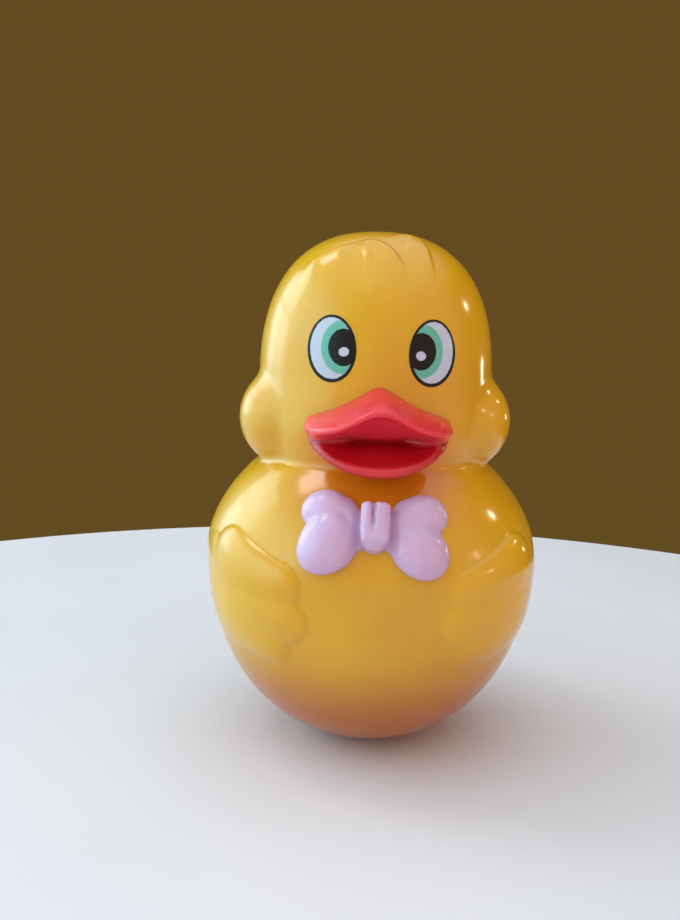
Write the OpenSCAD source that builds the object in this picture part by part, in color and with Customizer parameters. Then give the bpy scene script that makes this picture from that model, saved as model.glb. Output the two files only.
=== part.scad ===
// Self-righting chime duck: two glossy moulded shells joined front to back,
// an iron weight in the rounded base and a rod chime with a hanging clapper.
// Millimetres. +Z is up, the face looks along -Y, and the origin is the middle
// of the small flat that the duck stands on.

/* [Overall] */
// Height from the standing flat to the top of the hair
toy_h = 120; // [116:1:126]
// Wall thickness of both shells
wall = 2; // [1.8:0.1:2.2]
// Width of the flat under the body
foot_d = 12; // [10:1:14]

/* [Body] */
// Radius of the body at its widest
body_r = 39.2; // [38.8:0.1:40]
// Height of the body's widest point
body_z = 43.1; // [42.5:0.1:44]
// Rise of the shoulders above the widest point, if they met on the axis
shoulder_h = 36; // [35:0.5:38]
// Roundness of the body's outline, where 2 is an ellipse
body_round = 1.9; // [1.8:0.05:2]

/* [Head] */
// Radius of the head at the eyes
head_r = 27.4; // [27:0.1:28]
// Height of the head's widest point
head_z = 88; // [87:0.5:90]
// Depth of the head below its widest point
jaw_h = 25.5; // [25:0.5:27]
// Radius of each cheek
cheek_r = 11.5; // [11:0.1:12]
// Height of the cheeks
cheek_z = 76; // [75:0.5:77]

/* [Relief] */
// Height of the wings above the body
wing_rise = 1.2; // [0.8:0.1:1.4]
// Height of the hair locks above the head
lock_rise = 0.8; // [0.6:0.1:1]
// How far the tail stands out behind the body
tail_reach = 5; // [4:0.5:6]

/* [Face] */
// Width of the beak
beak_w = 31.5; // [30:0.5:33]
// How far the beak reaches in front of the toy's axis
beak_reach = 39.5; // [38.5:0.5:40]
// Width of each eye
eye_w = 10.4; // [10:0.1:11]
// Height of each eye
eye_h = 14; // [13.5:0.1:14.5]
// Angle of each eye from straight ahead
eye_turn = 23.5; // [23:0.5:24.5]

/* [Bow tie] */
// Width of the bow tie
bow_w = 31.4; // [30:0.2:32]
// Height of the knot's middle
bow_z = 58; // [57.5:0.1:58.5]
// Backward lean of the bow tie on the chest
bow_lean = 31; // [29:1:33]

/* [Weight] */
// Height of the weight's flat top
weight_top = 14; // [14:0.5:14.5]

/* [Chime] */
// Diameter of each tone rod
rod_d = 2; // [1.8:0.1:2.2]
// Height of the longest tone rod's top
rod_top = 44; // [43:0.5:45]
// How much shorter each rod is than the one before it
rod_step = 1.5; // [1:0.1:1.5]
// Radius of the clapper's ball
ball_r = 4; // [3.8:0.1:4]

/* [Hidden] */

yellow = "#f2b81e";
red = "#d9483b";
lilac = "#d4afd2";
steel = "#b8bcc0";
span = 60;
fine = 96;

// The body's lower half is stretched so that the flat is foot_d wide at z = 0.
foot_cut = pow(1 - pow(foot_d / 2 / body_r, body_round), 1 / body_round);
body_low = body_z / foot_cut;
crown_h = toy_h - lock_rise - head_z;
crown_round = 2.2;
jaw_round = 7;
arc_step = 6;

cheek_x = 20.5;
cheek_y = -5;

// Joint between the shells: a lip on the rear shell in a rebate of the front one
lip_h = 1.5;
lip_gap = 0.05;
seam_gap = 0.02;

// Screws: thread radius, pilot hole, clearance hole and head
thread_r = 1.25;
pilot_r = 1.27;
passing_r = 1.6;
head_screw_r = 2.6;
head_screw_h = 1.8;
boss_r = 3.6;
well_r = 3;
screw_seat = 5;
screw_end = -8;
shell_screw_xz = [[26, 26], [16, 100]];

// Beak: the ends of its outline, and two pegs through the front shell
beak_peg_xz = [8, 76];
beak_low_z = 67.8;
beak_corner_z = 76.5;
beak_side_z = 80;
beak_peak_z = 86.5;
beak_root_y = -21;
mouth_back_y = -28.5;
mouth_mid_z = 75.2;
beak_peg_end = -20;

// Bow tie: the knot sits on the chest at this distance from the axis
chest_y = -34.6;
bow_peg_xz = [9, 56];
bow_peg_end = -29;
pad_root_x = 2.2;
pad_root_r = 2.8;
pad_sink = 1.2;
knot_x = 1.5;
knot_y = -2.6;
knot_r = 1.75;
knot_h = 3.4;

// Pegs of the beak and the bow tie, and the bosses and wide screw heads behind them
peg_r = 3;
peg_gap = 0.1;
peg_boss_r = 5;
flange_r = 4.3;

// Eyes are thin printed pieces that follow the head
eye_lift = 0.03;
eye_t = 0.22;
eye_z = 94;
eye_tilt = 8;

// Wing outline in the plane that the wing faces: middle and radius of each circle
wing_turn = 60;
wing_rounds = [[0, 41, 15.5], [-10, 45.2, 7.3], [-18.5, 44.6, 5.4], [-18.2, 38.4, 7.2], [-14.8, 31.8, 6.6]];

// Tail: a blunt cone, sunk into the body by its root
tail_z = 31;
tail_lean = 78;
tail_root = 6;
tail_r = 9.5;
tail_tip_r = 3;

// Hair locks seen from above: middle and radius of each circle
lock_rounds = [[-3, -8, 12.5], [3.5, -7.5, 13.5], [9, -5, 14.5]];

// Weight and the chime on it
weight_gap = 0.4;
post_xy = [8, 18];
post_r = 3.2;
post_top = 11.5;
base_r = 25;
base_h = 3;
base_top = weight_top + base_h;
rod_seat = 2.5;
rod_play = 0.02;
side_rod = 12.1;
corner_rod = 10.6;
rod_xy = [[side_rod, 0], [corner_rod, corner_rod], [0, side_rod], [-corner_rod, corner_rod],
    [-side_rod, 0], [-corner_rod, -corner_rod], [0, -side_rod], [corner_rod, -corner_rod]];

// Gantry over the rods, and the two crossed pins that the clapper swings on
leg_x = 15.6;
leg_t = 3;
leg_w = 6;
beam_z = 50;
beam_h = 3;
bridge_foot = 5.6;
bridge_foot_h = 2.5;
bridge_screw_x = 21.5;
upper_z = 46.5;
lower_z = 42;
pin_r = 0.75;
bearing_gap = 0.05;
link_w = 4;
link_t = 3;
ear_gap = 0.4;
ear_t = 1.6;
yoke_t = 1.3;
arm_r = 0.9;
ball_z = 26;

// Point of a quarter superellipse at angle t, with half axes a and b
function oval(a, b, n, t) = [a * pow(cos(t), 2 / n), b * pow(sin(t), 2 / n)];
// Quarter outlines above (s = 1) and below (s = -1) the height z
function quarter(a, b, n, z, s) =
    [for (t = [0 : arc_step : 90]) let (p = oval(a, b, n, t)) [p[0], z + s * p[1]]];
function backwards(v) = [for (i = [len(v) - 1 : -1 : 0]) v[i]];
// Height of the beak's upper edge at x: a bell between its corners
function bell(x) = beak_side_z + (beak_peak_z - beak_side_z) * (0.5 + 0.5 * cos(360 * x / beak_w));

module both_sides() {
    children();
    mirror([1, 0, 0]) children();
}

module body_outline(inset) {
    polygon(concat(
        backwards(quarter(body_r - inset, body_low - inset, body_round, body_z, -1)),
        quarter(body_r - inset, shoulder_h - inset, body_round, body_z, 1)));
}

module head_outline(inset) {
    polygon(concat(
        backwards(quarter(head_r - inset, jaw_h - inset, jaw_round, head_z, -1)),
        quarter(head_r - inset, crown_h - inset, crown_round, head_z, 1)));
}

module body_round_solid(inset) {
    rotate_extrude($fn = fine) intersection() {
        body_outline(inset);
        translate([0, max(inset, 0)]) square([body_r + 10, toy_h]);
    }
}

module head_round_solid(inset) {
    rotate_extrude($fn = fine) head_outline(inset);
}

// Body, head and cheeks with every surface moved in by inset
module envelope(inset) {
    rotate_extrude($fn = fine) intersection() {
        union() {
            body_outline(inset);
            head_outline(inset);
        }
        translate([0, inset]) square([body_r + 10, toy_h]);
    }
    both_sides() translate([cheek_x, cheek_y, cheek_z]) sphere(r = cheek_r - inset, $fn = fine);
}

module front_half() {
    translate([-span, -span, -1]) cube([2 * span, span, toy_h + 10]);
}

module rear_half() {
    translate([-span, seam_gap, -1]) cube([2 * span, span, toy_h + 10]);
}

// A prism that leaves the axis at an angle from straight ahead
module facing(turn, reach) {
    rotate([0, 0, turn]) rotate([90, 0, 0]) linear_extrude(height = reach) children();
}

module wings() {
    both_sides() intersection() {
        body_round_solid(-wing_rise);
        facing(wing_turn, span) for (c = wing_rounds) translate([c[0], c[1]]) circle(r = c[2], $fn = fine);
    }
}

module hair_locks() {
    for (i = [0 : len(lock_rounds) - 1]) intersection() {
        head_round_solid(-lock_rise * (1 - i / 4));
        translate([lock_rounds[i][0], lock_rounds[i][1], head_z + 19])
            cylinder(r = lock_rounds[i][2], h = 20, $fn = fine);
    }
}

module tail() {
    translate([0, body_r - tail_root, tail_z]) rotate([-tail_lean, 0, 0]) {
        cylinder(r1 = tail_r, r2 = tail_tip_r, h = tail_root + tail_reach - tail_tip_r, $fn = fine);
        translate([0, 0, tail_root + tail_reach - tail_tip_r]) sphere(r = tail_tip_r + 0.1, $fn = fine);
    }
}

// A run along Y from y1 to y2 at [x, z]
module run(xz, y1, y2, r) {
    translate([xz[0], y1, xz[1]]) rotate([-90, 0, 0]) cylinder(r = r, h = y2 - y1, $fn = 48);
}

module each_shell_screw() {
    both_sides() for (p = shell_screw_xz) translate([p[0], 0, p[1]]) children();
}

module front_shell() {
    color(yellow) difference() {
        union() {
            difference() {
                intersection() {
                    union() {
                        envelope(0);
                        wings();
                        hair_locks();
                    }
                    front_half();
                }
                envelope(wall);
            }
            intersection() {
                envelope(wall / 2);
                union() {
                    each_shell_screw() run([0, 0], -span, 0, boss_r);
                    both_sides() run(beak_peg_xz, -span, beak_peg_end, peg_boss_r);
                    both_sides() run(bow_peg_xz, -span, bow_peg_end, peg_boss_r);
                }
            }
        }
        // Rebate that takes the rear shell's lip
        intersection() {
            difference() {
                envelope(wall / 2 - lip_gap);
                each_shell_screw() run([0, 0], -span, span, boss_r);
            }
            translate([-span, -lip_h - lip_gap, -1]) cube([2 * span, span, toy_h + 10]);
        }
        each_shell_screw() run([0, 0], screw_end - 1, 1, pilot_r);
        both_sides() run(beak_peg_xz, -span, 0, peg_r + peg_gap);
        both_sides() run(bow_peg_xz, -span, 0, peg_r + peg_gap);
    }
}

module rear_shell() {
    color(yellow) difference() {
        union() {
            difference() {
                intersection() {
                    union() {
                        envelope(0);
                        hair_locks();
                        tail();
                    }
                    rear_half();
                }
                envelope(wall);
            }
            // Lip inside the front shell's edge
            difference() {
                intersection() {
                    envelope(wall / 2 + lip_gap);
                    translate([-span, -lip_h, -1]) cube([2 * span, lip_h + 1, toy_h + 10]);
                }
                envelope(wall);
                each_shell_screw() run([0, 0], -span, span, boss_r + 0.3);
            }
            intersection() {
                envelope(wall / 2);
                union() {
                    each_shell_screw() run([0, 0], seam_gap, span, boss_r + 1);
                    both_sides() translate([post_xy[0], post_xy[1], 0])
                        cylinder(r = post_r, h = post_top, $fn = 48);
                }
            }
        }
        each_shell_screw() run([0, 0], -1, span, passing_r);
        each_shell_screw() run([0, 0], screw_seat, span, well_r);
        both_sides() translate([post_xy[0], post_xy[1], post_top - 3.3])
            cylinder(r = pilot_r, h = 10, $fn = 48);
    }
}

// A pan-head screw with its head's underside at the origin, pointing along -Z
module screw(length, head = head_screw_r) {
    translate([0, 0, -length]) cylinder(r = thread_r, h = length, $fn = 48);
    difference() {
        cylinder(r = head, h = head_screw_h, $fn = 48);
        for (a = [0, 90]) rotate([0, 0, a]) translate([-1.5, -0.3, head_screw_h - 0.9]) cube([3, 0.6, 2]);
    }
}

module shell_screws() {
    color(steel) each_shell_screw() translate([0, screw_seat, 0]) rotate([-90, 0, 0])
        screw(screw_seat - screw_end);
}

// Outline of the closed beak from the front
module beak_front() {
    half = beak_w / 2;
    low = beak_corner_z - beak_low_z;
    polygon(concat(
        [for (x = [-half : half / 12 : half]) [x, bell(x)]],
        [for (a = [0 : -7.5 : -180]) [half * cos(a), beak_corner_z + low * sin(a)]]));
}

// Outline from above, with a blunt round front
module beak_plan() {
    polygon([for (a = [0 : 5 : 180]) let (p = oval(beak_w / 2, beak_reach + beak_root_y, 2.4, a > 90 ? 180 - a : a))
        [a > 90 ? -p[0] : p[0], beak_root_y - p[1]]]);
}

// Section from the side: the bill's slope on top, the open mouth, and the lower bill
module beak_side() {
    polygon([[beak_root_y + 5, beak_peak_z + 2], [mouth_back_y + 1.5, beak_peak_z],
        [-beak_reach, beak_peak_z - 4], [-beak_reach, beak_peak_z - 5.6],
        [mouth_back_y, mouth_mid_z + 0.3], [mouth_back_y, mouth_mid_z - 0.3],
        [-beak_reach + 2, beak_low_z + 3.6], [-beak_reach + 2, beak_low_z + 2],
        [beak_root_y + 5, beak_low_z - 1]]);
}

module beak() {
    color(red) {
        difference() {
            intersection() {
                translate([0, beak_root_y + 5, 0]) rotate([90, 0, 0]) linear_extrude(height = 30) beak_front();
                translate([0, 0, beak_low_z - 1]) linear_extrude(height = 30) beak_plan();
                rotate([90, 0, 90]) translate([0, 0, -20]) linear_extrude(height = 40) beak_side();
            }
            head_round_solid(-lip_gap);
        }
        difference() {
            both_sides() run(beak_peg_xz, mouth_back_y + 1, beak_peg_end, peg_r);
            both_sides() run(beak_peg_xz, mouth_back_y + 2, 0, pilot_r);
        }
    }
}

module beak_screws() {
    color(steel) both_sides() translate([beak_peg_xz[0], beak_peg_end, beak_peg_xz[1]])
        rotate([-90, 0, 0]) screw(5, flange_r);
}

// A cone that widens from the knot to the round end of one lobe of a loop
module loop_pad(x, z, r) {
    reach = x - pad_root_x;
    translate([pad_root_x, pad_sink, 0]) rotate([0, 90 - atan2(z, reach), 0]) {
        cylinder(r1 = pad_root_r, r2 = 0.93 * r, h = norm([reach, z]), $fn = 48);
        translate([0, 0, norm([reach, z])]) sphere(r = r, $fn = 48);
    }
}

module bow_tie() {
    half = bow_w / 2;
    color(lilac) {
        difference() {
            translate([0, chest_y, bow_z]) rotate([-bow_lean, 0, 0]) both_sides() {
                loop_pad(half - 5, 3.6, 5);
                loop_pad(half - 7, -0.3, 4.8);
                loop_pad(half - 5.8, -4.2, 5.8);
                translate([knot_x, knot_y, -knot_h]) {
                    cylinder(r = knot_r, h = 2 * knot_h, $fn = 48);
                    sphere(r = knot_r + 0.1, $fn = 48);
                    translate([0, 0, 2 * knot_h]) sphere(r = knot_r + 0.1, $fn = 48);
                }
            }
            body_round_solid(-lip_gap);
        }
        difference() {
            both_sides() run(bow_peg_xz, chest_y - 1, bow_peg_end, peg_r);
            both_sides() run(bow_peg_xz, chest_y, 0, pilot_r);
        }
    }
}

module bow_tie_screws() {
    color(steel) both_sides() translate([bow_peg_xz[0], bow_peg_end, bow_peg_xz[1]])
        rotate([-90, 0, 0]) screw(4, flange_r);
}

module eye() {
    intersection() {
        difference() {
            head_round_solid(-eye_lift - eye_t);
            head_round_solid(-eye_lift);
        }
        facing(eye_turn, span) translate([0, eye_z]) rotate([0, 0, -eye_tilt])
            polygon([for (a = [0 : 7.5 : 352.5]) [eye_w / 2 * cos(a), eye_h / 2 * sin(a)]]);
    }
}

module left_eye() {
    color("white") mirror([1, 0, 0]) eye();
}

module right_eye() {
    color("white") eye();
}

module ballast_weight() {
    color("#5a5a5c") difference() {
        intersection() {
            body_round_solid(wall + weight_gap);
            translate([-span, -span, 0]) cube([2 * span, 2 * span, weight_top]);
        }
        both_sides() translate([post_xy[0], post_xy[1], -1]) {
            cylinder(r = post_r + 0.4, h = post_top + 1, $fn = 48);
            cylinder(r = passing_r, h = 30, $fn = 48);
        }
    }
}

module ballast_screws() {
    color(steel) both_sides() translate([post_xy[0], post_xy[1], base_top])
        screw(base_top - post_top + 3);
}

module chime_base() {
    color("#e9e4d8") difference() {
        translate([0, 0, weight_top]) cylinder(r = base_r, h = base_h, $fn = fine);
        for (p = rod_xy) translate([p[0], p[1], base_top - rod_seat])
            cylinder(r = rod_d / 2 + rod_play, h = 10, $fn = 48);
        both_sides() translate([post_xy[0], post_xy[1], 0]) cylinder(r = passing_r, h = 30, $fn = 48);
        both_sides() translate([bridge_screw_x, 0, weight_top + 0.5]) cylinder(r = pilot_r, h = 30, $fn = 48);
    }
}

module tone_rod(i) {
    color(steel) translate([rod_xy[i - 1][0], rod_xy[i - 1][1], base_top - rod_seat])
        cylinder(r = rod_d / 2, h = rod_top - (i - 1) * rod_step - base_top + rod_seat, $fn = 48);
}

module chime_bridge() {
    color("#e9e4d8") difference() {
        union() {
            both_sides() {
                translate([leg_x, -leg_w / 2, base_top]) cube([leg_t, leg_w, beam_z - base_top + beam_h]);
                translate([leg_x, -leg_w / 2, base_top]) cube([leg_t + bridge_foot, leg_w, bridge_foot_h]);
                translate([link_w / 2 + ear_gap, -2.5, upper_z - 2.2]) cube([ear_t, 5, beam_z - upper_z + 2.3]);
            }
            translate([-leg_x, -leg_w / 2, beam_z]) cube([2 * leg_x, leg_w, beam_h]);
        }
        translate([-10, 0, upper_z]) rotate([0, 90, 0]) cylinder(r = pin_r, h = 20, $fn = 48);
        both_sides() translate([bridge_screw_x, 0, 0]) cylinder(r = passing_r, h = 30, $fn = 48);
    }
}

module bridge_screws() {
    color(steel) both_sides() translate([bridge_screw_x, 0, base_top + bridge_foot_h])
        screw(bridge_foot_h + 2.2);
}

module upper_pin() {
    reach = link_w / 2 + ear_gap + ear_t;
    color(steel) translate([-reach, 0, upper_z]) rotate([0, 90, 0])
        cylinder(r = pin_r, h = 2 * reach, $fn = 48);
}

module hanger_link() {
    color(steel) difference() {
        translate([-link_w / 2, -link_t / 2, lower_z - 1.8])
            cube([link_w, link_t, upper_z - lower_z + 3.6]);
        translate([-10, 0, upper_z]) rotate([0, 90, 0])
            cylinder(r = pin_r + bearing_gap, h = 20, $fn = 48);
        translate([0, 10, lower_z]) rotate([90, 0, 0])
            cylinder(r = pin_r + bearing_gap, h = 20, $fn = 48);
    }
}

module lower_pin() {
    reach = link_t / 2 + ear_gap + yoke_t;
    color(steel) translate([0, reach, lower_z]) rotate([90, 0, 0])
        cylinder(r = pin_r, h = 2 * reach, $fn = 48);
}

module clapper_arm() {
    inner = link_t / 2 + ear_gap;
    outer = inner + yoke_t;
    color(steel) difference() {
        union() {
            difference() {
                translate([-2, -outer, lower_z - 5]) cube([4, 2 * outer, 6.6]);
                translate([-3, -inner, lower_z - 3.5]) cube([6, 2 * inner, 10]);
            }
            translate([0, 0, ball_z]) cylinder(r = arm_r, h = lower_z - 4 - ball_z, $fn = 48);
        }
        translate([0, 10, lower_z]) rotate([90, 0, 0]) cylinder(r = pin_r, h = 20, $fn = 48);
    }
}

module clapper_ball() {
    color("#c9a24a") translate([0, 0, ball_z]) difference() {
        sphere(r = ball_r, $fn = fine);
        cylinder(r = arm_r, h = ball_r + 1, $fn = 48);
    }
}

front_shell();
rear_shell();
shell_screws();
beak();
beak_screws();
bow_tie();
bow_tie_screws();
left_eye();
right_eye();
ballast_weight();
ballast_screws();
chime_base();
tone_rod(1);  // tone_rod_1
tone_rod(2);  // tone_rod_2
tone_rod(3);  // tone_rod_3
tone_rod(4);  // tone_rod_4
tone_rod(5);  // tone_rod_5
tone_rod(6);  // tone_rod_6
tone_rod(7);  // tone_rod_7
tone_rod(8);  // tone_rod_8
chime_bridge();
bridge_screws();
upper_pin();
hanger_link();
lower_pin();
clapper_arm();
clapper_ball();
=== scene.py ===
"""Looks of the roly-poly chime duck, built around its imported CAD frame.

Shapes are worked out in millimetres in the CAD frame (+Z up, the face looks along -Y)
and turned into metres when a mesh is made.
"""
import math

import bpy
import numpy as np
from mathutils import Matrix, Vector


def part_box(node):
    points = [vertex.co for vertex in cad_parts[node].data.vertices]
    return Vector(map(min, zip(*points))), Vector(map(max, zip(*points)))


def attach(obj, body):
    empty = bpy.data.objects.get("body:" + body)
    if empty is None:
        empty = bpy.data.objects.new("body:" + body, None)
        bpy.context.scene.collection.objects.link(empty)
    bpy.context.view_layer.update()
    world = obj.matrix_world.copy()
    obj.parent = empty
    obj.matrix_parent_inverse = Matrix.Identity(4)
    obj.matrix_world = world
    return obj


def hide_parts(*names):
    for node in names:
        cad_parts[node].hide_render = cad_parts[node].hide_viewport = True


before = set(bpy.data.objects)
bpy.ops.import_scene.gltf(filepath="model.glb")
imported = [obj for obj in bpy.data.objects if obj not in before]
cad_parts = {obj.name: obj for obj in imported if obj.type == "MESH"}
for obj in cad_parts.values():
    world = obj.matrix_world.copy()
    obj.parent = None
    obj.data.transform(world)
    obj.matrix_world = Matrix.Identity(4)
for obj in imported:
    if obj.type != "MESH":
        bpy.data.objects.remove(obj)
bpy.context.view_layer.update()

MM = 0.001
ROOT = "toy"


def mm_box(node):
    """Lowest and highest corner of a CAD node, in millimetres."""
    low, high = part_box(node)
    return np.array(low) / MM, np.array(high) / MM


TOY_H = mm_box("front_shell")[1][2]
BODY_R = mm_box("rear_shell")[1][0] + 0.1


# ---------------------------------------------------------------- fields
# A field is a signed, roughly true distance in millimetres: negative inside.

def soft_min(a, b, k):
    """Union of two fields with a fillet of about k."""
    h = np.clip(0.5 + 0.5 * (b - a) / k, 0, 1)
    return b + (a - b) * h - k * h * (1 - h)


def oval(p, mid_z, radius, up, down, power_up, power_down):
    """A turned superellipse, whose upper and lower halves differ."""
    rho = np.hypot(p[..., 0], p[..., 1])
    dz = p[..., 2] - mid_z
    n = np.where(dz > 0, power_up, power_down)
    half = np.where(dz > 0, up, down)
    g = ((rho / radius) ** n + (np.abs(dz) / half) ** n) ** (1 / n)
    return np.hypot(rho, dz) * (1 - 1 / np.maximum(g, 1e-6))


def ellipsoid(p, mid, radii):
    """An ellipsoid along the axes."""
    d = p - np.array(mid)
    g = np.sqrt(((d / np.array(radii)) ** 2).sum(-1))
    return np.sqrt((d ** 2).sum(-1)) * (1 - 1 / np.maximum(g, 1e-6))


def cone_ball(p, a, b, ra, rb):
    """A round rod whose radius goes from ra at a to rb at b."""
    a, b = np.array(a, float), np.array(b, float)
    t = np.clip(((p - a) @ (b - a)) / ((b - a) @ (b - a)), 0, 1)
    near = a + t[..., None] * (b - a)
    return np.sqrt(((p - near) ** 2).sum(-1)) - (ra + (rb - ra) * t)


def round_box(p, half, radius):
    """A box round the origin, with its half sizes and rounded edges."""
    d = np.abs(p) - (np.array(half) - radius)
    out = np.sqrt((np.maximum(d, 0) ** 2).sum(-1))
    return out + np.minimum(d.max(-1), 0) - radius


def slope(p, field, step=0.05):
    """Unit outward direction of a field."""
    g = np.stack([field(p + step * e) - field(p - step * e) for e in np.eye(3)], -1)
    return g / np.maximum(np.linalg.norm(g, axis=-1, keepdims=True), 1e-9)


def ramp(x, a, b):
    """0 at a, 1 at b, and smooth between."""
    t = np.clip((x - a) / (b - a), 0, 1)
    return t * t * (3 - 2 * t)


def bezier(points, n):
    """n points along the cubic Bezier curve of four control points."""
    t = np.linspace(0, 1, n)[:, None]
    a, b, c, d = (np.array(q, float) for q in points)
    return a * (1 - t) ** 3 + 3 * b * t * (1 - t) ** 2 + 3 * c * t * t * (1 - t) + d * t ** 3


# ---------------------------------------------------------------- the duck's skin

# The body and the head are turned superellipses. The jaw fills the head out above the
# neck, and each cheek is an ellipsoid, given for the duck's left side.
BODY = dict(mid_z=46.6, radius=BODY_R, up=31.8, down=47.15, power_up=1.72, power_down=2.16)
HEAD = dict(mid_z=85.4, radius=27.3, up=TOY_H - 85.4, down=24.0, power_up=2.46, power_down=3.0)
JAW = dict(mid_z=75.7, radius=25.4, up=16.0, down=12.9, power_up=3.0, power_down=3.0)
CHEEK = dict(mid=(20.6, -4.6, 77.4), radii=(10.95, 12.2, 11.5))
TAIL_Z = 31.0
TAIL_ROOT_R, TAIL_TIP_R = 8.6, 3.0
NECK_FILLET, CHEEK_FILLET, JAW_FILLET, TAIL_FILLET = 1.8, 2.0, 5.0, 5.0


def skin(p):
    """The duck's smooth outside, before wings and hair."""
    head = soft_min(oval(p, **HEAD), oval(p, **JAW), JAW_FILLET)
    folded = np.stack([np.abs(p[..., 0]), p[..., 1], p[..., 2]], -1)
    head = soft_min(head, ellipsoid(folded, **CHEEK), CHEEK_FILLET)
    all_over = soft_min(oval(p, **BODY), head, NECK_FILLET)
    tail = cone_ball(p, (0, BODY_R - 8, TAIL_Z), (0, BODY_R + 1.2, TAIL_Z + 1.8),
                     TAIL_ROOT_R, TAIL_TIP_R)
    return soft_min(all_over, tail, TAIL_FILLET)


CAST_REACH = 70.0
CAST_HALVINGS = 32


def cast(start, direction, inset=0.0):
    """Where rays that start inside the skin leave it, moved in by inset."""
    low = np.zeros(direction.shape[:-1])
    high = low + CAST_REACH
    for _ in range(CAST_HALVINGS):
        middle = (low + high) / 2
        inside = skin(start + middle[..., None] * direction) < -inset
        low = np.where(inside, middle, low)
        high = np.where(inside, high, middle)
    return start + ((low + high) / 2)[..., None] * direction


# Wings are drawn on a plane that faces WING_TURN away from straight ahead:
# along it first, then height. Each feather is a rod from its root to its round tip.
# A wing gets lower from one height down to another, and sinks into the side along its
# rear stretch. Its foot gets wider where it is low.
WING_TURN = math.radians(60)
WING_RISE = 1.8
WING_LOW_Z = (37, 28)
WING_LOW_LOSS = 0.35
WING_REAR = (15, -6)
WING_AHEAD = 5
WING_FOOT, WING_FOOT_WIDENS = 1.0, 1.2
FEATHERS = [((-4, 46.4), 8.9, (-18.4, 45.0), 5.7), ((2, 41), 9.0, (-18.4, 38.0), 6.5),
            ((2, 37.5), 10.0, (-15.2, 31.9), 5.8), ((2, 40), 12.5, (3, 40), 12.5)]
FEATHER_CURVE = 2.3

# Each hair lock ends in an edge that is drawn from above: four points of a curve,
# the height of the edge, and how far the lock's slope reaches behind it.
LOCKS = [([(-18.0, -12.4), (-13.0, -14.2), (-9.0, -15.6), (-4.5, -14.6)], 0.7, 4.0),
         ([(-5.0, -14.6), (-4.2, -16.0), (-3.2, -18.5), (-2.0, -21.0)], 0.4, 2.5),
         ([(-6.6, -15.2), (-0.9, -11.9), (2.5, -18.9), (5.5, -22.3)], 0.65, 4.5),
         ([(-0.1, -15.0), (8.4, -2.3), (9.7, -14.1), (10.9, -20.9)], 0.6, 5.0)]
LOCK_EDGE = 1.15
LOCK_ENDS = 0.35
LOCK_STEPS = 90
HAIR_REACH = 20
HAIR_FADE = (19, 13)


def wing_rise(p):
    """Height of the wings over the skin."""
    x, y, z = np.abs(p[..., 0]), p[..., 1], p[..., 2]
    along = x * math.cos(WING_TURN) + y * math.sin(WING_TURN)
    ahead = x * math.sin(WING_TURN) - y * math.cos(WING_TURN)
    flat = np.stack([along, z], -1)
    low = ramp(z, *WING_LOW_Z)
    height = np.zeros(x.shape)
    for root, root_r, tip, tip_r in FEATHERS:
        depth = -cone_ball(flat, root, tip, root_r, tip_r)
        bulge = 1 - np.exp(-np.maximum(depth, 0) / FEATHER_CURVE)
        height = np.maximum(height, bulge * ramp(depth, 0, WING_FOOT + WING_FOOT_WIDENS * low))
    return (WING_RISE * height * ramp(along, *WING_REAR) * (1 - WING_LOW_LOSS * low)
            * (ahead > WING_AHEAD))


def hair_rise(p):
    """Height of the hair locks: each climbs to its edge and drops behind it."""
    top = p[..., 2] > TOY_H - HAIR_REACH
    q = p[top][:, :2]
    rise = np.zeros(len(q))
    at = np.arange(len(q))
    for points, height, reach in LOCKS:
        line = bezier(points, LOCK_STEPS)
        step = np.gradient(line, axis=0)
        gap = q[:, None, :] - line[None, :, :]
        near = (gap ** 2).sum(-1).argmin(1)
        near_gap = gap[at, near]
        side = np.sign(step[near, 0] * near_gap[:, 1] - step[near, 1] * near_gap[:, 0])
        away = side * np.hypot(near_gap[:, 0], near_gap[:, 1])
        along = near / (len(line) - 1)
        fade = ramp(along, 0, LOCK_ENDS) * ramp(along, 1, 1 - LOCK_ENDS)
        rise += height * fade * np.where(away > 0, 1 - ramp(away, 0, LOCK_EDGE),
                                         np.exp(-(away / reach) ** 2))
    out = np.zeros(p.shape[:-1])
    out[top] = rise * ramp(p[top][:, 2], TOY_H - HAIR_FADE[0], TOY_H - HAIR_FADE[1])
    return out


# ---------------------------------------------------------------- meshes

def new_piece(name, points, faces, material, replaced=(), body=ROOT):
    """A smooth-shaded mesh piece from points in millimetres. One with no body is raw
    material: it is cut, or cuts another."""
    mesh = bpy.data.meshes.new(name)
    mesh.from_pydata((np.asarray(points) * MM).tolist(), [], [list(map(int, f)) for f in faces])
    mesh.validate()
    mesh.update()
    mesh.shade_smooth()
    piece = bpy.data.objects.new(name, mesh)
    bpy.context.scene.collection.objects.link(piece)
    mesh.materials.append(material)
    if body:
        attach(piece, body)
    if replaced:
        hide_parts(*replaced)
    return piece


def grid_faces(n, m, wrap=False):
    """Quads of an n by m grid of points; wrap joins the last column to the first."""
    last = m if wrap else m - 1
    return [(i * m + j, i * m + (j + 1) % m, (i + 1) * m + (j + 1) % m, (i + 1) * m + j)
            for i in range(n - 1) for j in range(last)]


RELAX_ROUNDS = 4
RELAX = 0.6
PULL_ROUNDS = 3


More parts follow.
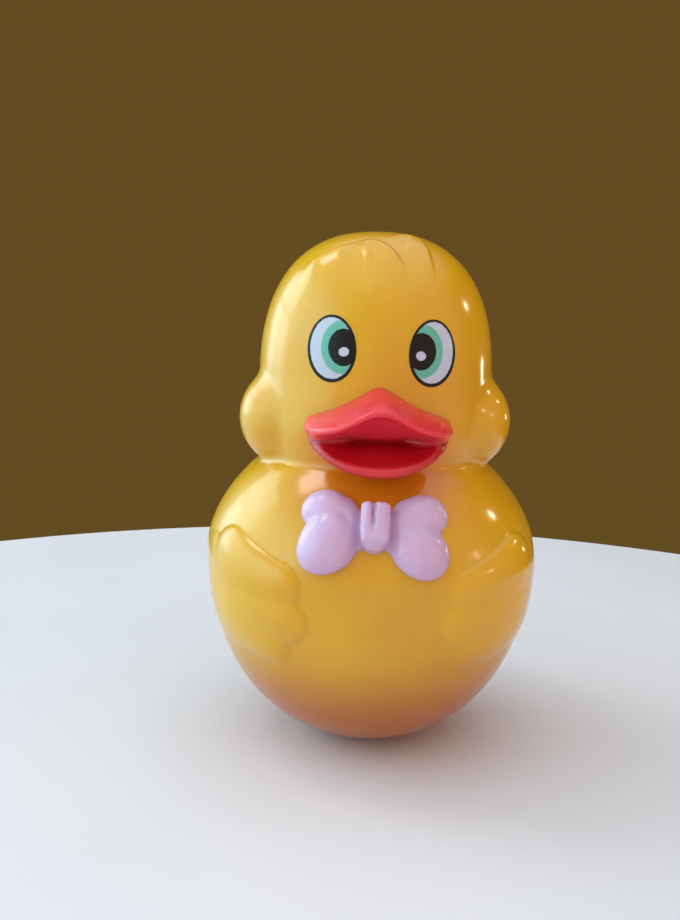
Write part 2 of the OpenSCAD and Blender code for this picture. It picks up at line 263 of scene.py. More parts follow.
def field_mesh(field, low, high, step):
    """Points and quads of a field's surface: one point for each grid cell that it crosses,
    then evened out along the surface and pulled back onto it."""
    axes = [np.arange(a, b + step, step) for a, b in zip(low, high)]
    inside = field(np.stack(np.meshgrid(*axes, indexing="ij"), -1)) < 0
    n = [len(a) - 1 for a in axes]
    corners = sum(inside[i:i + n[0], j:j + n[1], k:k + n[2]].astype(int)
                  for i in (0, 1) for j in (0, 1) for k in (0, 1))
    cells = (corners > 0) & (corners < 8)
    number = np.full(cells.shape, -1)
    number[cells] = np.arange(cells.sum())
    points = (np.argwhere(cells) + 0.5) * step + np.array(low)
    quads = []
    for axis in range(3):
        at, no = np.moveaxis(inside, axis, 0), np.moveaxis(number, axis, 0)
        i, j, k = np.nonzero((at[:-1] != at[1:])[:, 1:-1, 1:-1])
        quad = np.stack([no[i, j, k], no[i, j + 1, k], no[i, j + 1, k + 1], no[i, j, k + 1]], -1)
        outward = at[:-1][i, j + 1, k + 1] != (axis == 1)
        quads.append(np.where(outward[:, None], quad, quad[:, ::-1]))
    quads = np.vstack(quads)
    ends = np.vstack([quads[:, [a, (a + 1) % 4]] for a in range(4)])
    ends = np.vstack([ends, ends[:, ::-1]])
    for _ in range(RELAX_ROUNDS):
        total = np.zeros_like(points)
        np.add.at(total, ends[:, 0], points[ends[:, 1]])
        points = points * (1 - RELAX) + RELAX * total / np.bincount(ends[:, 0])[:, None]
        for _ in range(PULL_ROUNDS):
            points = points - field(points)[:, None] * slope(points, field)
    return points, quads


def bake_modifiers(piece):
    """Applies the piece's modifiers to its mesh."""
    bpy.context.view_layer.update()
    graph = bpy.context.evaluated_depsgraph_get()
    mesh = bpy.data.meshes.new_from_object(piece.evaluated_get(graph))
    old = piece.data
    piece.modifiers.clear()
    piece.data = mesh
    bpy.data.meshes.remove(old)
    mesh.name = piece.name


def cut(piece, other):
    """Takes one closed piece away from another; the second one is used up."""
    modifier = piece.modifiers.new("cut", "BOOLEAN")
    modifier.operation = "DIFFERENCE"
    modifier.solver = "MANIFOLD"
    modifier.object = other
    bake_modifiers(piece)
    bpy.data.objects.remove(other)


# Rays that cover the skin from the bottom to the crown: height of the start on the
# axis, elevation in degrees, and the number of rows up to the next one.
SWEEP = [(38, -90, 34), (40, -40, 66), (44, -2, 56), (64, 2, 26), (71, 3, 30), (86, 4, 20),
         (89, 30, 76), (90, 90, 1)]
# Columns stand these distances from the seam, then EDGE_TURN degrees round from it.
SEAM_STEPS = np.array([0.0, 0.06, 0.15, 0.3, 0.55])
SEAM_FIT = 0.7
SEAM_ROUND = 0.3
SEAM_HALF_GAP = 0.04
FAR_FROM_SEAM = 9.0
EDGE_TURN = 1.5
WALL = 2.0
FRONT_COLUMNS, REAR_COLUMNS, HOLLOW_COLUMNS = 296, 150, 60
HOLLOW_COARSE = 4


def sweep_rows(coarse):
    """Start height and elevation of each row of rays. coarse leaves rows out."""
    rows = []
    for (z0, e0, n), (z1, e1, _) in zip(SWEEP[:-1], SWEEP[1:]):
        n = max(2, n // coarse)
        rows += [(z0 + (z1 - z0) * i / n, e0 + (e1 - e0) * i / n) for i in range(n)]
    return np.array(rows[1:])


def half_solid(name, side, columns, coarse, inset, material):
    """One closed half of the duck's skin, with its edge rounded at the seam. side is -1 for
    the front and 1 for the rear. The wings, the hair and the rounding are only on the outside,
    where inset is 0."""
    rows = sweep_rows(coarse)
    start = np.stack([0 * rows[:, 0], 0 * rows[:, 0], rows[:, 0]], -1)
    lift = np.radians(rows[:, 1])
    rim = cast(start, np.stack([np.cos(lift), 0 * lift, np.sin(lift)], -1), inset)
    rim_r = np.maximum(np.abs(rim[:, 0]), 0.01)
    fit = np.minimum(1, rim_r * math.sin(math.radians(EDGE_TURN)) / SEAM_FIT)
    steps = SEAM_STEPS[None, :] * fit[:, None]
    edge = np.degrees(np.arcsin(np.minimum(steps / rim_r[:, None], 0.9)))
    inner = np.linspace(-90 + EDGE_TURN, 90 - EDGE_TURN, columns)
    inner = np.broadcast_to(inner, (len(rows), columns))
    turn = np.radians(np.hstack([-90 + edge, inner, 90 - edge[:, ::-1]]))
    off_seam = np.hstack([steps, np.full((len(rows), columns), FAR_FROM_SEAM), steps[:, ::-1]])
    flat = np.cos(lift)[:, None]
    ray = np.stack([np.sin(turn) * flat, side * np.cos(turn) * flat,
                    np.broadcast_to(np.sin(lift)[:, None], turn.shape)], -1)
    at = cast(np.broadcast_to(start[:, None, :], ray.shape), ray, inset)
    if inset == 0:
        t = np.clip(1 - off_seam / SEAM_ROUND, 0, 1)
        rise = wing_rise(at) + hair_rise(at) - SEAM_ROUND * (1 - np.sqrt(1 - t * t))
        at = at + slope(at, skin) * rise[..., None]
        at[..., 2] = np.maximum(at[..., 2], 0)
    at[:, 0, 1] = 0
    at[:, -1, 1] = 0
    poles = cast(np.array([[0, 0, float(SWEEP[0][0])], [0, 0, float(SWEEP[-1][0])]]),
                 np.array([[0, 0, -1.0], [0, 0, 1.0]]), inset)
    poles[0, 2] = max(poles[0, 2], inset)
    n, m = at.shape[:2]
    points = np.vstack([at.reshape(-1, 3), poles])
    points[:, 1] += side * SEAM_HALF_GAP
    low, high = n * m, n * m + 1
    faces = grid_faces(n, m)
    faces += [(low, j + 1, j) for j in range(m - 1)]
    faces += [(high, (n - 1) * m + j, (n - 1) * m + j + 1) for j in range(m - 1)]
    faces.append([low] + [i * m for i in range(n)] + [high]
                 + [i * m + m - 1 for i in range(n - 1, -1, -1)])
    if side > 0:
        faces = [f[::-1] for f in faces]
    return new_piece(name, points, faces, material, body=None)


def rod_along_y(x, z, y0, y1, radius, material, sides=48):
    """A closed cylinder along Y, to cut with."""
    a = np.linspace(0, 2 * math.pi, sides, endpoint=False)
    ring = np.stack([x + radius * np.cos(a), 0 * a, z + radius * np.sin(a)], -1)
    points = np.vstack([ring + [0, y0, 0], ring + [0, y1, 0]])
    faces = [f[::-1] for f in grid_faces(2, sides, wrap=True)]
    faces += [list(range(sides)), list(range(2 * sides - 1, sides - 1, -1))]
    return new_piece("rod", points, faces, material, body=None)


def shells(material):
    """Front and rear shells with their wall, and the rear one's four screw wells."""
    low, high = mm_box("shell_screws")
    head_r, well_r, wall_r, head_h = 2.6, 3.0, 4.6, 1.8
    upper_x, behind, crease = 16.0, 60, math.radians(48)
    wells = [(s * x, z) for s in (-1, 1)
             for x, z in ((high[0] - head_r, low[2] + head_r), (upper_x, high[2] - head_r))]
    front = half_solid("duck_front", -1, FRONT_COLUMNS, 1, 0, material)
    cut(front, half_solid("hollow", -1, HOLLOW_COLUMNS, HOLLOW_COARSE, WALL, material))
    rear = half_solid("duck_rear", 1, REAR_COLUMNS, 1, 0, material)
    hollow = half_solid("hollow", 1, HOLLOW_COLUMNS, HOLLOW_COARSE, WALL, material)
    for x, z in wells:
        cut(hollow, rod_along_y(x, z, -1, behind, wall_r, material))
    cut(rear, hollow)
    for x, z in wells:
        cut(rear, rod_along_y(x, z, high[1] - head_h, behind, well_r, material))
    for piece, node in ((front, "front_shell"), (rear, "rear_shell")):
        piece.data.set_sharp_from_angle(angle=crease)
        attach(piece, ROOT)
        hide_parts(node)


# ---------------------------------------------------------------- beak
# The beak is a fan of closed sections. Each stands on a line that leaves the point
# (0, BEAK_Y) at an angle from straight ahead; a section's points are a distance along
# that line and a height.
BEAK_Y = -21.0
BEAK_HALF = 16.0
BEAK_DEPTH = 18.5
BEAK_ROUND = 2.3
BEAK_FAN = 84.5
UPPER_END_Z = 78.5
LOWER_END_Z = 75.6
THROAT_Z = 75.2
THROAT = (13.4, 8.5)
HEAD_FRONT = 27.2
BEAK_SECTIONS = 161
BEAK_LOOP_STEPS = 5


def between(a, b, t):
    """The value at t on the way from a to b."""
    return a + (b - a) * t


def beak_section(turn):
    """Control points of one section: over the upper bill, along the palate to the slot at its
    end, along the floor of the mouth, over the lip and back under the chin. close goes from 1
    to 0 where the bills meet at the fan's ends, and web from 0 to 1 where the mouth's corner
    closes."""
    s, c = abs(math.sin(turn)), math.cos(turn)
    reach = ((s / BEAK_HALF) ** BEAK_ROUND + (c / BEAK_DEPTH) ** BEAK_ROUND) ** (-1 / BEAK_ROUND)
    root = c * BEAK_Y + math.sqrt(HEAD_FRONT ** 2 - (s * BEAK_Y) ** 2)
    root = min(root, reach - 0.8)
    side, root_side = min(reach * s / BEAK_HALF, 1), root * s / BEAK_HALF
    close = math.sqrt(1 - min(abs(math.degrees(turn)) / BEAK_FAN, 1) ** 12)
    reach -= 1.1 * (1 - close)
    web = float(ramp(side, 0.66, 0.90))
    throat = between(1 / math.hypot(s / THROAT[0], c / THROAT[1]), reach - 1.0, web)
    slot = between(1.5, 0.5, web)
    lip = reach - 2.0 + 1.2 * side ** 6

    root_z = between(UPPER_END_Z, 80.3 + 6.2 * math.exp(-(root_side / 0.479) ** 1.7), close)
    rim_z = between(UPPER_END_Z, 77.0 + 4.6 * math.exp(-(side / 0.46) ** 2), close)
    thick = 0.2 + 1.1 * close
    throat_z = between((UPPER_END_Z + LOWER_END_Z) / 2, THROAT_Z, close)
    lip_z = LOWER_END_Z - 6.6 * (1 - side ** 2) ** 0.5 * close
    lip_h = 0.5 + 1.7 * close
    chin_z = LOWER_END_Z - 7.9 * (1 - side ** 2.4) ** 0.5 * close

    return [
        (root - 3.0, root_z - 1.0),
        (root - 0.4, root_z + 0.25),
        (between(root, reach, 0.35), between(root_z, rim_z + thick, 0.38) + 0.25),
        (between(root, reach, 0.70), between(root_z, rim_z + thick, 0.72) + 0.50),
        (between(root, reach, 0.90), rim_z + thick + 0.35),
        (reach - 0.1, rim_z + thick * 0.85),
        (reach + 0.3, rim_z + thick * 0.35),
        (reach + 0.1, rim_z - 0.15),
        (between(throat, reach, 0.88), rim_z - 0.45),
        (between(throat, reach, 0.50), between(throat_z, rim_z, 0.52)),
        (between(throat, reach, 0.14), throat_z + 0.7),
        (throat + 0.3, throat_z + 0.15),
        (throat - slot * 0.8, throat_z + slot * 0.42),
        (throat - slot, throat_z + slot * 0.10),
        (throat - slot * 0.4, throat_z - 0.55),
        (between(throat, lip, 0.15), throat_z - 1.0),
        (between(throat, lip, 0.45), between(throat_z, lip_z + lip_h, 0.60)),
        (between(throat, lip, 0.74), lip_z + lip_h - 0.05),
        (between(throat, lip, 0.90), lip_z + lip_h),
        (lip + 0.1, lip_z + lip_h * 0.75),
        (lip + 0.3, lip_z + lip_h * 0.3),
        (lip - 0.5, lip_z - 0.25),
        (between(root, lip, 0.5), between(chin_z, lip_z, 0.5) - 0.45),
        (root - 0.4, chin_z),
        (root - 3.0, chin_z + 1.0),
    ]


def smooth_loop(points, n):
    """A closed B-spline through a loop of control points, n points for each."""
    p = np.array(points, float)
    before, here, after, next_one = (np.roll(p, k, 0) for k in (1, 0, -1, -2))
    out = []
    for t in np.linspace(0, 1, n, endpoint=False):
        out.append(((1 - t) ** 3 * before + (3 * t ** 3 - 6 * t ** 2 + 4) * here
                    + (-3 * t ** 3 + 3 * t ** 2 + 3 * t + 1) * after + t ** 3 * next_one) / 6)
    return np.stack(out, 1).reshape(-1, p.shape[1])


def beak(material):
    """The two bills as one closed moulding, with its ends capped inside the head."""
    turns = np.radians(BEAK_FAN * np.sin(np.linspace(-1, 1, BEAK_SECTIONS) * math.pi / 2))
    rings = []
    for turn in turns:
        loop = smooth_loop(beak_section(turn), BEAK_LOOP_STEPS)
        rings.append(np.stack([loop[:, 0] * math.sin(turn), BEAK_Y - loop[:, 0] * math.cos(turn),
                               loop[:, 1]], -1))
    n, m = len(rings), len(rings[0])
    faces = grid_faces(n, m, wrap=True)
    faces += [list(range(m - 1, -1, -1)), [(n - 1) * m + j for j in range(m)]]
    new_piece("beak_bill", np.vstack(rings), faces, material, ["beak"])


# ---------------------------------------------------------------- bow tie
# Its frame: across, up the slope of the chest, and out of it. It sits a little askew,
# and its ends bend back with the chest.
BOW_LEAN = math.radians(31)
BOW_ASKEW = math.radians(1.9)
BOW_MID = np.array([-0.6, -34.6, 58.3])
BOW_UP = np.array([0, math.sin(BOW_LEAN), math.cos(BOW_LEAN)])
BOW_OUT = np.array([0, -math.cos(BOW_LEAN), math.sin(BOW_LEAN)])
BOW_BEND = 48.0
BOW_BOX = (-17, -44, 48), (17, -27, 67)
BOW_STEP = 0.31


def bow_frame(p):
    """Places in the bow's own frame: across, up and out."""
    d = p - BOW_MID
    x, y, w = d[..., 0], d @ BOW_UP, d @ BOW_OUT
    u = x * math.cos(BOW_ASKEW) - y * math.sin(BOW_ASKEW)
    v = y * math.cos(BOW_ASKEW) + x * math.sin(BOW_ASKEW)
    return u, v, w + u * u / (2 * BOW_BEND)


def puff(u, v, w, mid, half, turn=0.0):
    """A puffy lobe: an ellipsoid turned in the bow's plane."""
    c, s = math.cos(math.radians(turn)), math.sin(math.radians(turn))
    du, dv = u - mid[0], v - mid[1]
    return ellipsoid(np.stack([du * c + dv * s, dv * c - du * s, w - mid[2]], -1), (0, 0, 0), half)


def bow(p):
    """The bow's field: on each side three lobes and a fold over them, which stands out more on
    the duck's right, and in the middle a knot with a groove and folds."""
    u, v, w = bow_frame(p)
    side = np.abs(u)
    left = ramp(u, 1, -1)
    middle = puff(side, v, w, (6.0, -0.8, -0.3), (5.2, 6.9, 3.3))
    upper = puff(side, v, w, (10.0, 3.3, -0.2), (5.3, 4.6, 3.9), 12)
    lower = puff(side, v, w, (9.5, -4.2, 0.1), (6.5, 5.7, 4.3), -38)
    fold = puff(side, v, w - 0.5 * left, (9.9, -2.9, 0.1), (5.2, 7.0, 4.2), 24)
    wings = soft_min(soft_min(middle, upper, 1.4), lower, 1.2)
    wings = soft_min(wings, fold + 0.9 * (1 - left), 0.5)
    pinch = 0.8 * np.exp(-((side - 3.3) / 1.2) ** 2)
    groove = 1.25 * np.exp(-((u + 0.45) / 0.50) ** 2) * ramp(v, -3.4, 1.5)
    folds = 0.30 * np.exp(-((side - 2.45) / 0.45) ** 2) * ramp(v, -5.5, 2)
    squeeze = 1 + 0.10 * ramp(v, -1, -6)
    knot = np.stack([u * squeeze, v + 0.45, w - 0.9 + groove + folds], -1)
    knot = soft_min(round_box(knot + [0, -0.3, 0], (2.95, 4.3, 4.2), 1.0),
                    round_box(knot + [0, 0.35, 0], (2.9, 4.9, 4.0), 2.6), 0.6)
    return soft_min(wings + pinch, knot, 0.2)


def bow_tie(material):
    points, quads = field_mesh(bow, *BOW_BOX, BOW_STEP)
    new_piece("bow_tie_ribbon", points, quads, material, ["bow_tie"])


# ---------------------------------------------------------------- eyes
# Each eye's angle from straight ahead and its height, named as in the CAD.
EYES = {"left": (-22.8, 94.0), "right": (24.2, 93.5)}
EYE_HALF = (5.45, 7.0)
EYE_TILT = math.radians(8)
EYE_LIFT = 0.06
EYE_THICK = 0.15
EYE_RINGS, EYE_SIDES = 26, 96
EYE_AIM = 26.0
EYE_FOLLOW = 0.85


def eye(which, material):
    """A printed oval that follows the head. Its UV runs from -1 to 1: outward, then up. The
    rays that place it start from the axis, EYE_FOLLOW of the way up with each point."""
    turn, height = EYES[which]
    side, turn = math.copysign(1, turn), math.radians(abs(turn))
    rings, sides = EYE_RINGS, EYE_SIDES
    radius = np.linspace(0, 1, rings + 1)[1:]
    a = np.linspace(0, 2 * math.pi, sides, endpoint=False)
    u = np.concatenate([[0], np.outer(radius, np.cos(a)).ravel()])
    v = np.concatenate([[0], np.outer(radius, np.sin(a)).ravel()])
    across = u * EYE_HALF[0] * math.cos(EYE_TILT) + v * EYE_HALF[1] * math.sin(EYE_TILT)
    up = v * EYE_HALF[1] * math.cos(EYE_TILT) - u * EYE_HALF[0] * math.sin(EYE_TILT)
    middle = np.array([math.sin(turn) * side, -math.cos(turn), 0])
    sideways = np.array([math.cos(turn) * side, math.sin(turn), 0])
    aim = EYE_AIM * middle + across[:, None] * sideways + up[:, None] * np.array([0, 0, 1])
    start = np.array([0, 0, height]) + up[:, None] * np.array([0, 0, EYE_FOLLOW])
    aim[:, 2] -= start[:, 2] - height
    front = cast(start, aim / np.linalg.norm(aim, axis=1, keepdims=True))
    out = slope(front, skin)
    front = front + out * EYE_LIFT
    back = front[-sides:] - out[-sides:] * (EYE_LIFT + EYE_THICK)
    faces = [(0, 1 + j, 1 + (j + 1) % sides) for j in range(sides)]
    faces += [tuple(1 + k for k in f[::-1]) for f in grid_faces(rings + 1, sides, wrap=True)]
    faces.append([1 + rings * sides + j for j in range(sides)][::-1])
    if side < 0:
        faces = [f[::-1] for f in faces]
    piece = new_piece("eye_print_" + which, np.vstack([front, back]), faces, material,
                      [which + "_eye"])
    layer = piece.data.uv_layers.new(name="print")
    spots = np.stack([np.append(u, u[-sides:]), np.append(v, v[-sides:])], -1)
    index = np.zeros(len(piece.data.loops), int)
    piece.data.loops.foreach_get("vertex_index", index)
    layer.data.foreach_set("uv", spots[index].ravel())
    piece.data.set_sharp_from_angle(angle=math.radians(40))


# ---------------------------------------------------------------- materials

class Graph:
    """Short ways to add nodes to a node tree."""

    def __init__(self, tree):
        self.tree = tree

    def put(self, node, key, value):
        """Links an output to a node's input, or sets the input to a value."""
        socket = node.inputs[key]
        if isinstance(value, bpy.types.NodeSocket):
            self.tree.links.new(value, socket)
        else:
            socket.default_value = value

    def add(self, kind, inputs=(), **settings):
        node = self.tree.nodes.new("ShaderNode" + kind)
        for key, value in settings.items():
            setattr(node, key, value)
        for key, value in dict(inputs).items():
            self.put(node, key, value)
        return node

    def fade(self, value, low, high, to_low=0.0, to_high=1.0):
        """to_low at low, to_high at high, and smooth between."""
        return self.add("MapRange", {"Value": value, "From Min": low, "From Max": high,
                                     "To Min": to_low, "To Max": to_high},
                        interpolation_type="SMOOTHSTEP").outputs[0]

    def math(self, operation, a, b=0.0):
        return self.add("Math", {0: a, 1: b}, operation=operation).outputs[0]

    def mix(self, factor, a, b):
        return self.add("Mix", {0: factor, 6: a, 7: b}, data_type="RGBA").outputs[2]


class Paint(Graph):
    """A material. Its textures run in the part's own frame."""

    def __init__(self, name, **sockets):
        self.material = bpy.data.materials.new(name)
        self.material.use_nodes = True
        super().__init__(self.material.node_tree)
        self.shader = self.tree.nodes["Principled BSDF"]
        self.place = self.add("TexCoord").outputs["Object"]
        self.bump = None
        for key, value in sockets.items():
            self.put(self.shader, key.replace("_", " "), value)

    def noise(self, scale, detail=3.0, stretch=(1, 1, 1), offset=0.0, distortion=0.0):
        spot = self.add("Mapping", {"Vector": self.place, "Scale": stretch, "Location": (offset,) * 3})
        return self.add("TexNoise", {"Vector": spot.outputs[0], "Scale": scale, "Detail": detail,
                                     "Distortion": distortion}).outputs["Fac"]

    def raise_by(self, height, depth, strength=1.0):
        """Adds bump: height from 0 to 1, depth in metres."""
        inputs = {"Height": height, "Distance": depth, "Strength": strength}
        if self.bump:
            inputs["Normal"] = self.bump
        self.bump = self.add("Bump", inputs).outputs[0]
        self.put(self.shader, "Normal", self.bump)


def srgb(r, g, b):
    """Linear colour from 0-255 values."""
    linear = (((c / 255 + 0.055) / 1.055) ** 2.4 if c > 10 else c / 3294.6 for c in (r, g, b))
    return tuple(linear) + (1.0,)


def shade(color, factor):
    """A colour times a factor."""
    return tuple(c * factor for c in color[:3]) + (1.0,)


def moulded(name, light, deep, rough, scatter, radius, waves=1.0, **sockets):
    """Glossy moulded plastic: slow colour drift, faint flow lines, dust specks, soft
    waviness from the mould, fine skin texture and hairline scratches."""
    m = Paint(name, Subsurface_Weight=scatter, Subsurface_Radius=radius, Subsurface_Scale=1.0, **sockets)
    drift = m.fade(m.noise(38, 2), 0.35, 0.68)
    flow = m.fade(m.noise(90, 4, (1, 1, 0.25), 3.1, 0.6), 0.4, 0.75, 0, 0.35)
    speck = m.fade(m.noise(1500, 2, offset=7.7), 0.735, 0.775, 0, 0.30)
    color = m.mix(drift, light, deep)
    color = m.mix(flow, color, shade(light, 1.06))
    m.color = m.mix(speck, color, shade(deep, 0.55))
    m.put(m.shader, "Base Color", m.color)
    scratch = m.fade(m.noise(260, 5, (1, 14, 1.6), 1.3, 1.4), 0.66, 0.72)
    smudge = m.fade(m.noise(70, 5, offset=5.2), 0.42, 0.72)
    haze = m.math("ADD", m.math("MULTIPLY", smudge, 0.07), m.math("MULTIPLY", scratch, 0.10))
    m.put(m.shader, "Roughness", m.math("ADD", haze, rough))
    m.raise_by(m.noise(55, 1.5, offset=2.4), 0.00022 * waves)
    m.raise_by(m.noise(620, 2), 0.0000035)
    m.raise_by(scratch, 0.000003)
    return m


def yellow_plastic():
    """Translucent yellow: browner low down, which is painted shade with the ballast partly showing
    through, and painted red light in front under the beak, as if bounced from it."""
    m = moulded("yellow_plastic", srgb(216, 164, 12), srgb(209, 152, 8), 0.13, 0.35,
                (0.0050, 0.0026, 0.0006), Coat_Weight=0.2, Coat_Roughness=0.42)
    x, y, z = m.add("SeparateXYZ", {"Vector": m.place}).outputs
    # Painted shade: browner towards the bottom, with the ballast partly showing through.
    ballast_and_painted_shade = m.fade(z, 0.035, 0.011)
    # Painted light: a red glow on the chest under the beak, as if bounced from the beak.
    throat = m.math("MULTIPLY", m.fade(z, 0.055, 0.064), m.fade(z, 0.080, 0.074))
    throat = m.math("MULTIPLY", throat, m.fade(y, -0.012, -0.024))
    throat = m.math("MULTIPLY", throat, m.fade(m.math("ABSOLUTE", x), 0.024, 0.006, 0.0, 0.55))
    color = m.mix(ballast_and_painted_shade, m.color, srgb(174, 92, 4))
    # Mixes in the painted red glow under the beak.
    m.put(m.shader, "Base Color", m.mix(throat, color, srgb(214, 70, 20)))
    return m.material


def red_plastic():
    """Red, with painted shade: darker deep inside the mouth."""
    m = moulded("red_plastic", srgb(222, 54, 68), srgb(212, 42, 58), 0.22, 0.30,
                (0.0042, 0.0006, 0.0004), waves=0.6)
    spot = m.add("SeparateXYZ", {"Vector": m.place})
    # Painted shade deep in the mouth, where the upper bill shades it.
    mouth = m.math("MULTIPLY", m.fade(spot.outputs["Y"], -0.0405, -0.034),
                   m.fade(spot.outputs["Z"], 0.0765, 0.0745))
    m.put(m.shader, "Base Color", m.mix(mouth, m.color, srgb(178, 12, 26)))
    return m.material


def lilac_plastic():
    """Lilac-pink."""
    return moulded("lilac_plastic", srgb(203, 172, 209), srgb(197, 164, 203), 0.20, 0.35,
                   (0.0040, 0.0022, 0.0030), waves=0.6).material


def eye_ink():
    """Printed inks over the plastic: an outline, white, a green iris, a pupil and a spot.
    Each is an oval in the print's UV: its middle, its half sizes and how soft its edge is."""
    m = Paint("eye_ink", Specular_IOR_Level=0.25)
    spot = m.add("SeparateXYZ", {"Vector": m.add("UVMap", uv_map="print").outputs[0]})
    u, v = spot.outputs["X"], spot.outputs["Y"]
    edge = m.fade(m.noise(2600, 2), 0.3, 0.7, -0.010, 0.010)

    def oval_mask(mid_u, mid_v, half_u, half_v, soft=0.02):
        a = m.math("DIVIDE", m.math("SUBTRACT", u, mid_u), half_u)
        b = m.math("DIVIDE", m.math("SUBTRACT", v, mid_v), half_v)
        r = m.math("SQRT", m.math("ADD", m.math("MULTIPLY", a, a), m.math("MULTIPLY", b, b)))
        return m.fade(m.math("ADD", r, edge), 1 + soft, 1 - soft)

    white = oval_mask(-0.005, 0.014, 0.875, 0.908)
    iris = m.math("MULTIPLY", white, oval_mask(-0.44, 0, 0.83, 0.79, 0.03))
    pupil = oval_mask(-0.50, -0.01, 0.60, 0.55)
    glint = oval_mask(-0.50, -0.14, 0.20, 0.135, 0.05)
    grain = m.fade(m.noise(900, 3), 0.3, 0.7, 0, 0.5)
    ink = srgb(8, 9, 11)
    green = m.mix(grain, srgb(98, 176, 160), srgb(88, 166, 150))
    pale = m.mix(grain, srgb(184, 194, 216), srgb(177, 187, 209))
    color = m.mix(white, ink, pale)
    color = m.mix(iris, color, green)
    color = m.mix(pupil, color, ink)
    color = m.mix(glint, color, pale)
    m.put(m.shader, "Base Color", color)
    m.put(m.shader, "Roughness", m.fade(m.noise(500, 3), 0.3, 0.7, 0.20, 0.28))
    m.raise_by(m.noise(55, 1.5, offset=2.4), 0.00022)
    m.raise_by(m.noise(1800, 2), 0.000002)
    return m.material


def metal(name, light, dark, rough, stretch, grain, depth, pits=0.0):
    """Bare metal with tool marks along one direction, tarnish and small pits."""
    m = Paint(name, Metallic=1.0)
    marks = m.noise(grain, 4, stretch)
    tarnish = m.fade(m.noise(160, 5, offset=4.0), 0.38, 0.7)
    m.put(m.shader, "Base Color", m.mix(tarnish, light, dark))
    m.put(m.shader, "Roughness", m.math("ADD", m.math("MULTIPLY", marks, 0.14),
                                       m.math("ADD", m.math("MULTIPLY", tarnish, 0.12), rough)))
    m.raise_by(marks, depth)
    if pits:
        m.raise_by(m.fade(m.noise(900, 3, offset=9.0), 0.45, 0.62), pits)
    return m.material


def inner_materials():
    """Materials for the CAD nodes that stay: the works inside and the screws."""
    steel = metal("bright_steel", srgb(204, 206, 210), srgb(150, 150, 152), 0.16,
                  (1, 1, 12), 700, 0.000006)
    rods = metal("drawn_tone_steel", srgb(196, 198, 204), srgb(132, 134, 140), 0.14,
                 (14, 14, 1), 500, 0.000004)
    brass = metal("turned_brass", srgb(214, 176, 92), srgb(150, 112, 48), 0.20,
                  (1, 1, 16), 800, 0.000006)
    iron = metal("cast_iron", srgb(84, 82, 80), srgb(52, 48, 46), 0.42,
                 (1, 1, 1), 420, 0.00003, 0.00005)
    white = moulded("chime_plastic", srgb(226, 222, 208), srgb(212, 206, 190), 0.30, 0.15,
                    (0.002, 0.0018, 0.0014)).material
    starts = {"tone_rod": rods, "ballast_weight": iron, "clapper": brass,
              "chime": white, "hanger_link": white}
    for name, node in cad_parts.items():
        if not node.hide_render:
            chosen = [m for start, m in starts.items() if name.startswith(start)] or [steel]
            node.data.materials.clear()
            node.data.materials.append(chosen[0])


# ---------------------------------------------------------------- camera, light and floor

def aim(item, at):
    """Turns a lamp to face a place."""
    item.rotation_euler = (Vector(at) - item.location).to_track_quat("-Z", "Y").to_euler()


def camera():
    """A phone's view: a little above the duck's head, turned and rolled a little."""
    turn, away, height = math.radians(-2.4), 0.2075, 0.1005
    left, down, roll = math.radians(2.16), math.radians(9.34), math.radians(1.45)
    data = bpy.data.cameras.new("camera")
    data.sensor_fit = "VERTICAL"
    data.sensor_height = 36
    data.lens = 34.0
    data.clip_start = 0.01
    item = bpy.data.objects.new("camera", data)
    bpy.context.scene.collection.objects.link(item)
    stand = Matrix.Translation((away * math.sin(turn), -away * math.cos(turn), height))
    item.matrix_world = (stand @ Matrix.Rotation(turn + left, 4, "Z")
                         @ Matrix.Rotation(math.pi / 2 - down, 4, "X") @ Matrix.Rotation(roll, 4, "Z"))
    bpy.context.scene.camera = item


def lamp(name, place, width, height, power, color):
    """A rectangular lamp that faces the middle of the toy."""
    data = bpy.data.lights.new(name, "AREA")
    data.energy = power
    data.color = color
    data.shape = "RECTANGLE"
    data.size = width
    data.size_y = height
    item = bpy.data.objects.new(name, data)
    item.location = place
    bpy.context.scene.collection.objects.link(item)
    aim(item, LIT)


def around(turn, lift, away, height=0.06):
    """A place at an angle from straight ahead (towards +X), an elevation and a distance."""
    turn, lift = math.radians(turn), math.radians(lift)
    return (away * math.sin(turn) * math.cos(lift), -away * math.cos(turn) * math.cos(lift),
            height + away * math.sin(lift))


LIT = (0, 0, 0.06)
DAYLIGHT, WHITE_LIGHT, WARM_LIGHT = (0.92, 0.96, 1.0), (1.0, 0.98, 0.95), (1.0, 0.82, 0.60)
PANE = (0.21, 0.27)
PANE_POWER = 0.35
# Each small lamp's angle from straight ahead, elevation, width and power.
SMALL_LAMPS = ((109, 24, 0.02, 0.15), (74, 14, 0.016, 0.08), (123, 2, 0.02, 0.12))


def light():
    """A window of four panes on the left, a little behind, a lamp high on the left, and small
    warm lamps on the right."""
    for column in (-1, 1):
        for row in (-1, 1):
            lamp("window", around(-117 + column * 8.5, 20 + row * 10.5, 0.8), *PANE,
                 PANE_POWER, DAYLIGHT)
    lamp("high_lamp", around(-100, 59, 0.7), 0.16, 0.16, 0.45, WHITE_LIGHT)
    for turn, lift, width, power in SMALL_LAMPS:
        lamp("lamp", around(turn, lift, 0.7), width, width * 2, power, WARM_LIGHT)


# The room's light: the wall behind, the room in front, daylight on the left with the
# window's glow in it, and the ceiling.
BACK_WALL = srgb(99, 75, 34)
ROOM = (1.05, 0.76, 0.6, 1.0)
DAY = (1.02, 1.9, 2.0, 1.0)
WINDOW = (1.75, 2.7, 2.8, 1.0)
CEILING = (1.1, 1.35, 1.4, 1.0)


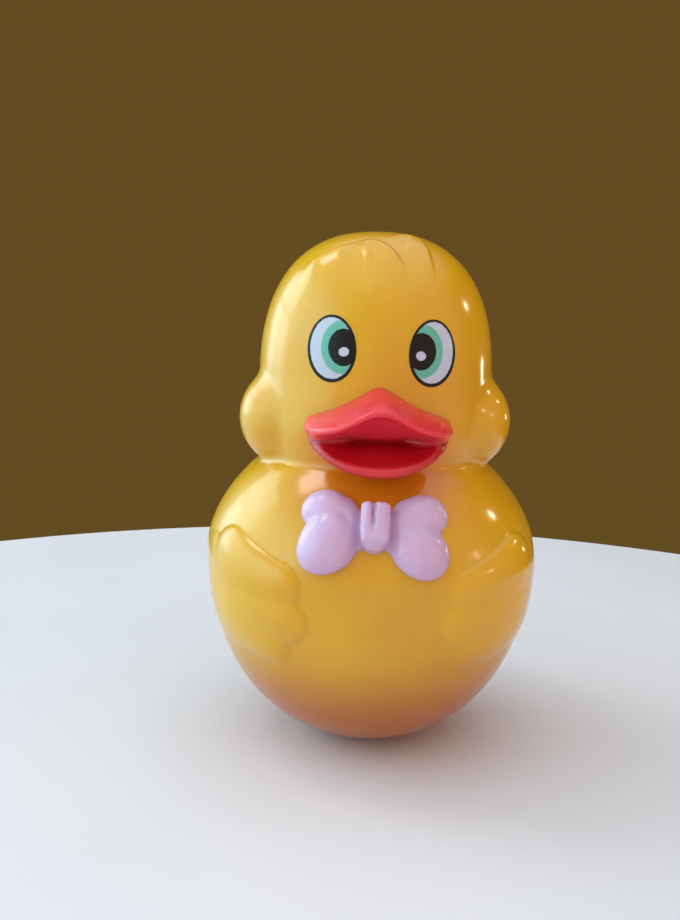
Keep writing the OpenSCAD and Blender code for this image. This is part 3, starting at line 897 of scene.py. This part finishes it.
def room():
    """The world: a dim warm wall behind the toy, a pale room in front of it and above it, and
    daylight on the left. Fades are over the parts of the direction, from -1 to 1."""
    world = bpy.data.worlds.new("world")
    world.use_nodes = True
    bpy.context.scene.world = world
    g = Graph(world.node_tree)
    x, y, z = g.add("SeparateXYZ", {"Vector": g.add("TexCoord").outputs["Generated"]}).outputs
    front, left, above = g.fade(y, 0.45, -0.45), g.fade(x, -0.42, -0.98), g.fade(z, 0.55, 0.95)
    window = g.math("MULTIPLY", g.fade(z, -0.05, 0.2), g.fade(z, 0.75, 0.4))
    window = g.math("MULTIPLY", g.fade(x, -0.55, -0.85), window)
    window = g.math("MULTIPLY", window, g.fade(y, 0.8, 0.5))
    color = g.mix(left, g.mix(front, BACK_WALL, ROOM), DAY)
    color = g.mix(above, g.mix(window, color, WINDOW), CEILING)
    g.put(g.tree.nodes["Background"], "Color", color)


def table():
    """A round pale table top with a rolled edge. Most of it is in front of the toy, and it is
    a hair lower, so that the two don't share a face."""
    m = Paint("pale_table", Specular_IOR_Level=0.4)
    mottle = m.fade(m.noise(6, 3), 0.3, 0.7)
    m.put(m.shader, "Base Color", m.mix(mottle, srgb(227, 223, 232), srgb(223, 219, 229)))
    m.put(m.shader, "Roughness", m.fade(m.noise(20, 4), 0.3, 0.7, 0.35, 0.42))
    radius, edge, sides, ahead, gap = 300.0, 4.0, 160, 95, 0.05
    a = np.linspace(0, 2 * math.pi, sides, endpoint=False)
    roll = np.linspace(0, math.pi, 12)
    rings = [(1.0, 0.0)] + [(radius + edge * math.sin(t), edge * (math.cos(t) - 1)) for t in roll]
    points = np.vstack([np.stack([r * np.cos(a), r * np.sin(a) - ahead, 0 * a + z - gap], -1)
                        for r, z in rings])
    faces = [f[::-1] for f in grid_faces(len(rings), sides, wrap=True)] + [list(range(sides))]
    mesh = bpy.data.meshes.new("table")
    mesh.from_pydata((points * MM).tolist(), [], faces)
    mesh.shade_smooth()
    mesh.materials.append(m.material)
    top = bpy.data.objects.new("table", mesh)
    bpy.context.scene.collection.objects.link(top)


bpy.context.scene.view_settings.view_transform = "Standard"
camera()
light()
room()
table()
shells(yellow_plastic())
beak(red_plastic())
bow_tie(lilac_plastic())
ink = eye_ink()
for which in EYES:
    eye(which, ink)
inner_materials()
